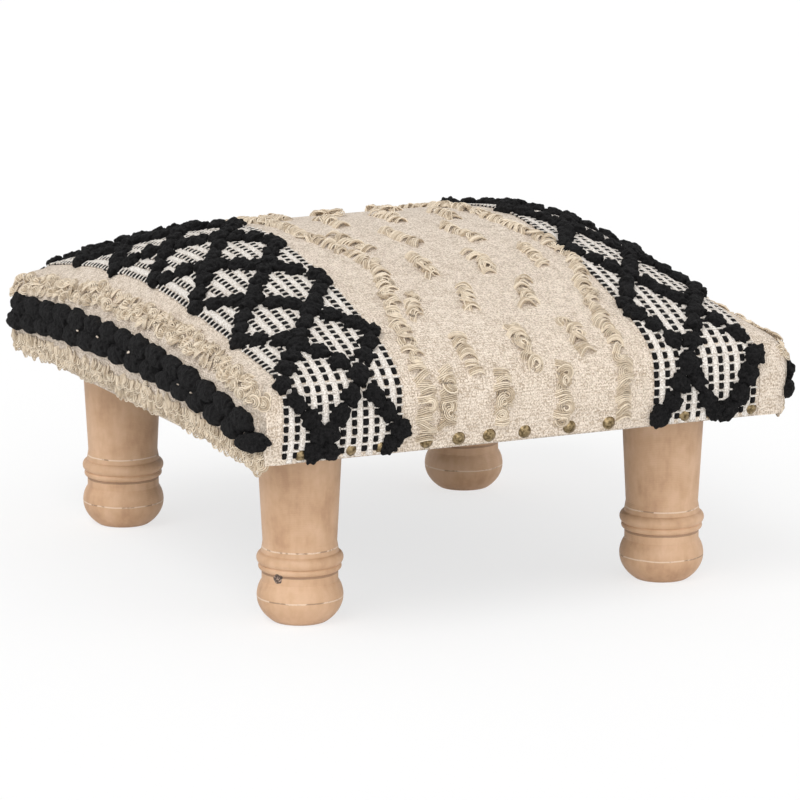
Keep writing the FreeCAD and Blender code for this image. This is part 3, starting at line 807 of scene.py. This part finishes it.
def swirl(soup, point, across, along, normal, size):
    """A bundle of yarns wound flat on the cloth, with both ends in it."""
    heading = rng.uniform(0, 2 * math.pi)
    ahead = across * math.cos(heading) + along * math.sin(heading)
    tilt = rng.uniform(*SWIRL_TILTS)
    up = np.cross(normal, ahead) * math.cos(tilt) + normal * math.sin(tilt)
    outer = size * SWIRL_RADIUS * rng.uniform(*SWIRL_SIZES)
    middle = point + normal * (outer * math.sin(tilt) + SWIRL_RISE)
    share = np.linspace(-1, 1, SWIRL_POINTS)[:, None]
    sweep = rng.uniform(*SWIRL_HALF_SWEEPS) * math.pi
    for yarn in range(BUNDLE_YARNS):
        turns = sweep * share + rng.normal(0, SWIRL_SCATTER)
        out = normal * (yarn * SWIRL_LAYER - SWIRL_DIP * share ** SWIRL_DIP_POWER)
        path = middle + (outer - yarn * YARN_STEP) * (np.cos(turns) * ahead + np.sin(turns) * up) + out
        lay_yarn(soup, path)


def hanging(soup, point, across, up, normal, size):
    """A bundle of yarns that hangs from the cloth in one long loop."""
    lean = rng.normal(0, HANG_LEAN_SCATTER)
    down = across * math.sin(lean) - up * math.cos(lean)
    aside = across * math.cos(lean) + up * math.sin(lean)
    wide = size * HANG_WIDE * rng.uniform(*HANG_SIZES)
    long = size * HANG_LONG * rng.uniform(*HANG_SIZES)
    turns = np.linspace(0, math.pi, HANG_POINTS)[:, None]
    for yarn in range(BUNDLE_YARNS):
        fall = (long - yarn * YARN_STEP) * np.sin(turns) ** HANG_POWER
        out = HANG_SWELL * np.sin(turns) + HANG_LAYER * yarn
        path = point + aside * (wide - yarn * YARN_STEP) * np.cos(turns) + down * fall + normal * out
        lay_yarn(soup, path)


def tuft_column(soup, column, low, high):
    """Bundles close together along a stretch of one column of the middle field."""
    for length in np.arange(low, high, TUFT_STEP):
        bundle = swirl if rng.random() < SWIRL_CHANCE else arch
        sway = SWAY * (math.exp(-((length - SWAY_PLACE) / SWAY_REACH) ** 2) - SWAY_BACK_SHARE)
        at = column + sway + rng.normal(0, TUFT_SCATTER)
        bundle(soup, *LENGTHWISE.place(at, length), size=1.0)


def middle_field(soup):
    """Tuft columns along both edges of the middle field and staggered clumps between them."""
    for share in TUFT_COLUMN_SHARES:
        end = LENGTHWISE.end(share * HALF_X) - TUFT_HEM_GAP
        tuft_column(soup, share * HALF_X, -end, end)
    last = LENGTHWISE.end(0.0) - CLUMP_LENGTH / 2 - CLUMP_HEM_GAP
    rows = round(last / CLUMP_PITCH)
    for row in range(-rows, rows + 1):
        middle = min(max(row * CLUMP_PITCH, -last), last)
        for share in CLUMP_COLUMN_SHARES[row % 2]:
            low = middle - CLUMP_LENGTH / 2 + rng.uniform(-CLUMP_SHIFT, CLUMP_SHIFT)
            tuft_column(soup, share * HALF_X, low, low + CLUMP_LENGTH * rng.uniform(*CLUMP_SIZES))


def side_braid(soup, flecks, side):
    """Thick black braid along a side wall: two rows of long lobes, with flecks of the cloth between them."""
    unit, faces = ball_template(LOBE_CELLS)
    fleck, fleck_faces = ball_template(SPECK_CELLS)
    for row in (-1, 1):
        y = -HALF_Y + BRAID_END_GAP + (BRAID_PITCH / 2 if row > 0 else 0)
        while y < HALF_Y - BRAID_END_GAP:
            height = BRAID_HEIGHT + row * BRAID_ROW_OFFSET
            point, across, up, normal = side_place(side, y, height, BRAID_FALLS)
            heading = across * math.cos(BRAID_TURN) + row * up * math.sin(BRAID_TURN)
            aside = np.cross(normal, heading)
            local = woolly(unit * BRAID_RADII * rng.uniform(*BRAID_SIZES, 3), *BRAID_WOOL)
            soup.add(set_in(local, point + normal * BRAID_RISE, heading, aside, normal), faces)
            point, across, up, normal = side_place(side, y + BRAID_PITCH / 2, BRAID_HEIGHT, BRAID_FALLS)
            if row > 0 and y + BRAID_PITCH < HALF_Y and rng.random() < FLECK_CHANCE:
                local = woolly(fleck * FLECK_RADII * rng.uniform(*FLECK_SIZES, 3), *FLECK_WOOL)
                shift = across * rng.normal(0, FLECK_SCATTER_ALONG) + up * rng.normal(0, FLECK_SCATTER_UP)
                point = point + normal * FLECK_RISE + shift
                flecks.add(set_in(local, point, across, up, normal), fleck_faces)
            y += BRAID_PITCH * rng.uniform(*BRAID_STEPS)


def side_loops(soup, side, bundle, heights, falls, step, size):
    """Rows of yarn bundles along a side wall."""
    for height in heights:
        y = -HALF_Y + rng.uniform(ROW_FRONT_GAP, step)
        while y < HALF_Y - ROW_BACK_GAP:
            bundle(soup, *side_place(side, y, height + rng.normal(0, ROW_SCATTER), falls), size)
            y += step * rng.uniform(*ROW_STEPS)


def corner_flap(soup, side):
    """Front cloth that laps round a front corner and ends there in a fold."""
    columns = np.linspace(HALF_X - FLAP_WIDE, HALF_X - FLAP_EDGE_GAP, FLAP_COLUMNS)
    heights = np.linspace(0, FLAP_HIGH, FLAP_ROWS)
    vertices = []
    for share, column in zip(np.linspace(0, 1, len(columns)), columns):
        end = LENGTHWISE.end(side * column)
        for height in heights:
            point, _, _, normal = LENGTHWISE.place(side * column, -end + height)
            fade = math.sin(math.pi * (FLAP_FADE_START + (1 - FLAP_FADE_START) * height / FLAP_HIGH))
            vertices.append(point + normal * (FLAP_STAND + FLAP_FOLD * share ** 2 * fade))
    faces = grid_faces(len(columns), len(heights))
    soup.add(vertices, faces if side < 0 else faces[:, ::-1])


def cover_pieces():
    """Everything that stands on the base cloth, as one object for each kind of yarn work on each side."""
    pieces = []
    for net, name in zip(NET_SHARES, ("left", "right")):
        ribs, dashes, bars, lumps = (Soup() for _ in range(4))
        lattice_ribs(ribs, net)
        lattice_dashes(dashes, bars, net)
        diamond_lumps(lumps, net)
        pieces += [
            cloth_coordinates(ribs.build(f"lattice_ribs_{name}", PALE)),
            dashes.build(f"lattice_dashes_{name}", BLACK),
            cloth_coordinates(bars.build(f"lattice_bars_{name}", PALE)),
            lumps.build(f"lattice_lumps_{name}", BLACK),
        ]
    field = Soup()
    middle_field(field)
    pieces.append(field.build("field_loops", BEIGE))
    for side, name in ((-1, "left"), (1, "right")):
        braid, flecks, loops, flap = (Soup() for _ in range(4))
        side_braid(braid, flecks, side)
        side_loops(loops, side, swirl, LOOP_ROW_HEIGHTS, LOOP_ROW_FALLS, LOOP_ROW_STEP, LOOP_ROW_SIZE)
        side_loops(loops, side, hanging, FRINGE_HEIGHTS, FRINGE_FALLS, FRINGE_STEP, FRINGE_SIZE)
        corner_flap(flap, side)
        pieces += [
            braid.build(f"side_braid_{name}", BLACK),
            cloth_coordinates(flecks.build(f"braid_flecks_{name}", CREAM)),
            loops.build(f"side_loops_{name}", BEIGE),
            cloth_coordinates(flap.build(f"corner_flap_{name}", CREAM)),
        ]
    return pieces


def thicken(obj, thickness):
    """Give a sheet its thickness on its inner side."""
    layer = obj.modifiers.new("thickness", "SOLIDIFY")
    layer.thickness = thickness
    layer.offset = -1


# Padding and lining, which the cover hides.

PADDING_SCALE = np.array([0.955, 0.955, 0.93])


def padding():
    """The crowned foam and its wadding as one form inside the cover."""
    points, wide, deep = cushion_grid(wall_step=6, top_step=5)
    middle = np.array([0, 0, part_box("foam_pad")[0][2]])
    points = middle + (points - middle) * PADDING_SCALE
    points[:, 2] = np.maximum(points[:, 2], middle[2])
    soup = Soup()
    soup.add(points, grid_faces(wide, deep))
    dark, light = (0.72, 0.70, 0.66), (0.86, 0.85, 0.83)
    wadding = plain_material("wadding", dark, light, scale=60, roughness=0.9)
    return soup.build("padding", wadding)


LINING_THICK = 0.5 * MM
LINING_SAG = 1.2 * MM
LINING_HOLE = 30 * MM
LINING_HOLE_MARGIN = 2 * MM
LINING_COUNTS = (120, 140)


def lining():
    """Black lining under the frame, with a hole round each leg."""
    low, high = (np.array(corner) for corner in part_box("underside_lining"))
    wide, deep = LINING_COUNTS
    rows, columns = np.linspace(low[0], high[0], wide), np.linspace(low[1], high[1], deep)
    grid_x, grid_y = np.meshgrid(rows, columns, indexing="ij")
    span_x, span_y = (high - low)[:2]
    sag = LINING_SAG * np.cos(np.pi * grid_x / span_x) * np.cos(np.pi * grid_y / span_y)
    points = np.stack([grid_x, grid_y, high[2] - sag], -1).reshape(-1, 3)
    faces = grid_faces(wide, deep)
    for name in frame["nodes"]:
        if name.startswith("leg_"):
            leg = np.mean(np.array(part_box(name)), axis=0)[:2]
            out = points[:, :2] - leg
            far = np.linalg.norm(out, axis=1)
            faces = faces[(far[faces] > LINING_HOLE - LINING_HOLE_MARGIN).all(axis=1)]
            near = far < LINING_HOLE + LINING_HOLE_MARGIN
            points[near, :2] = leg + out[near] / far[near, None] * LINING_HOLE
    soup = Soup()
    soup.add(points, faces)
    dark, light = (0.008, 0.008, 0.009), (0.02, 0.02, 0.022)
    black = plain_material("black_lining", dark, light, scale=400, roughness=0.9)
    return soup.build("lining", black)


cloth = cloth_coordinates(base_cloth())
thicken(cloth, CLOTH_THICK)
decor = cover_pieces()
for piece in [cloth, *decor]:
    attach(piece, "root")
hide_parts("woven_cover")
CLOTH_WIDE = 2 * float(CROSSWISE.end(0.0)) + 2 * HEM_WIDTH
CLOTH_LONG = 2 * float(LENGTHWISE.end(0.0)) + 2 * HEM_WIDTH

pad = padding()
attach(pad, "root")
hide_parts("foam_pad", "wadding")

under = lining()
thicken(under, LINING_THICK)
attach(under, "root")
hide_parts("underside_lining")


# Finishes of the hard pieces.  The plain ones have a dark and a light tone, the scale of their mottling,
# their roughness and how metallic they are.

PLAIN_FINISHES = {
    "frame_wood": ((0.42, 0.29, 0.16), (0.58, 0.43, 0.26), 120, 0.6, 0.0),
    "board_wood": ((0.50, 0.36, 0.21), (0.62, 0.48, 0.31), 90, 0.6, 0.0),
    "steel": ((0.42, 0.42, 0.43), (0.58, 0.58, 0.60), 300, 0.35, 1.0),
}
FINISHES = {slot: plain_material(slot, *settings) for slot, settings in PLAIN_FINISHES.items()}
FINISHES["leg_wood"] = turned_wood()
FINISHES["brass"] = antique_brass()
for entry in frame["record"]["subparts"]:
    if entry["material_slot"] in FINISHES:
        mesh = frame["nodes"][entry["node"]].data
        mesh.materials.clear()
        mesh.materials.append(FINISHES[entry["material_slot"]])
        mesh.polygons.foreach_set("use_smooth", np.ones(len(mesh.polygons), dtype=bool))


# Camera, floor and light.

# The photo's camera: angles in degrees, lens and sensor in millimetres, shifts as shares of the picture.
PHOTO_AZIMUTH = -25.36
PHOTO_ELEVATION = 11.99
PHOTO_DISTANCE = 3.4247
PHOTO_TARGET = Vector((0, 0, 0.1096))
PHOTO_LENS = 225
PHOTO_SENSOR = 36
PHOTO_SHIFT_X = 0.0171
PHOTO_SHIFT_Y = -0.0091
PHOTO_CLIP = 50

# Suns: azimuth and elevation that the light comes from, strength, and spread in degrees.
SUNS = {
    "key": (-60, 50, 1.3, 40),
    "front": (-20, 9, 0.85, 50),
    "fill": (40, 25, 0.4, 60),
}
SUN_DISTANCE = 3
SKY_LIGHT = 0.66
FLOOR_GLOW = 0.7
FLOOR_REACH = 30


def direction(azimuth, elevation):
    """Unit vector from the stool towards a viewer."""
    a = math.radians(azimuth)
    e = math.radians(elevation)
    return Vector((math.sin(a) * math.cos(e), -math.cos(a) * math.cos(e), math.sin(e)))


def aim(name, data, azimuth, elevation, distance):
    """A camera or lamp that looks at the stool."""
    obj = bpy.data.objects.new(name, data)
    back = direction(azimuth, elevation)
    obj.location = PHOTO_TARGET + back * distance
    obj.rotation_euler = (-back).to_track_quat("-Z", "Y").to_euler()
    bpy.context.scene.collection.objects.link(obj)
    return obj


def camera():
    """The photo's camera, as fitted to the feet and the lower corners of the cushion."""
    data = bpy.data.cameras.new("photo_camera")
    data.lens = PHOTO_LENS
    data.sensor_width = PHOTO_SENSOR
    data.shift_x = PHOTO_SHIFT_X
    data.shift_y = PHOTO_SHIFT_Y
    data.clip_end = PHOTO_CLIP
    bpy.context.scene.camera = aim("photo_camera", data, PHOTO_AZIMUTH, PHOTO_ELEVATION, PHOTO_DISTANCE)


def seen_directly(nodes, links):
    """1 for rays from the camera, also by way of metal or glass, and 0 for the light on the object."""
    path = nodes.new("ShaderNodeLightPath")
    output = path.outputs["Is Camera Ray"]
    for other in ("Is Glossy Ray", "Is Transmission Ray"):
        larger = nodes.new("ShaderNodeMath")
        larger.operation = "MAXIMUM"
        links.new(output, larger.inputs[0])
        links.new(path.outputs[other], larger.inputs[1])
        output = larger.outputs[0]
    return output


def floor():
    """Pale floor, which looks white in the open and keeps a light shadow below the stool."""
    mesh = bpy.data.meshes.new("floor")
    corners = [(x * FLOOR_REACH, y * FLOOR_REACH, 0) for x, y in ((-1, -1), (1, -1), (1, 1), (-1, 1))]
    mesh.from_pydata(corners, [], [(0, 1, 2, 3)])
    obj = bpy.data.objects.new("floor", mesh)
    bpy.context.scene.collection.objects.link(obj)
    shade = Shader("pale_floor", roughness=0.9)
    pale, paler = (0.93, 0.93, 0.93), (0.95, 0.95, 0.95)
    shade.colour(shade.ramp(shade.noise(scale=3, detail=2), (0.3, pale), (0.7, paler)))
    seen = shade.maths("MULTIPLY", seen_directly(shade.nodes, shade.links), FLOOR_GLOW)
    glow = shade.add("ShaderNodeEmission", Strength=1.0)
    blend = shade.add("ShaderNodeMixShader")
    shade.join(seen, blend.inputs[0])
    shade.join(shade.surface.outputs["BSDF"], blend.inputs[1])
    shade.join(glow.outputs["Emission"], blend.inputs[2])
    shade.join(blend.outputs["Shader"], shade.nodes["Material Output"].inputs["Surface"])
    mesh.materials.append(shade.material)


def sun(name, azimuth, elevation, strength, spread):
    """Even light from far away, softened by its spread in degrees."""
    data = bpy.data.lights.new(name, "SUN")
    data.energy = strength
    data.angle = math.radians(spread)
    aim(name, data, azimuth, elevation, SUN_DISTANCE)


def world():
    """Even white light from all round, and a white background behind the floor."""
    sky = bpy.data.worlds.new("studio")
    sky.use_nodes = True
    nodes, links = sky.node_tree.nodes, sky.node_tree.links
    background = nodes["Background"]
    background.inputs["Color"].default_value = (1, 1, 1, 1)
    level = nodes.new("ShaderNodeMath")
    level.operation = "MULTIPLY_ADD"
    links.new(seen_directly(nodes, links), level.inputs[0])
    level.inputs[1].default_value = 1 - SKY_LIGHT
    level.inputs[2].default_value = SKY_LIGHT
    links.new(level.outputs[0], background.inputs["Strength"])
    bpy.context.scene.world = sky


camera()
floor()
world()
for sun_name, settings in SUNS.items():
    sun(sun_name, *settings)
bpy.context.scene.view_settings.view_transform = "Standard"
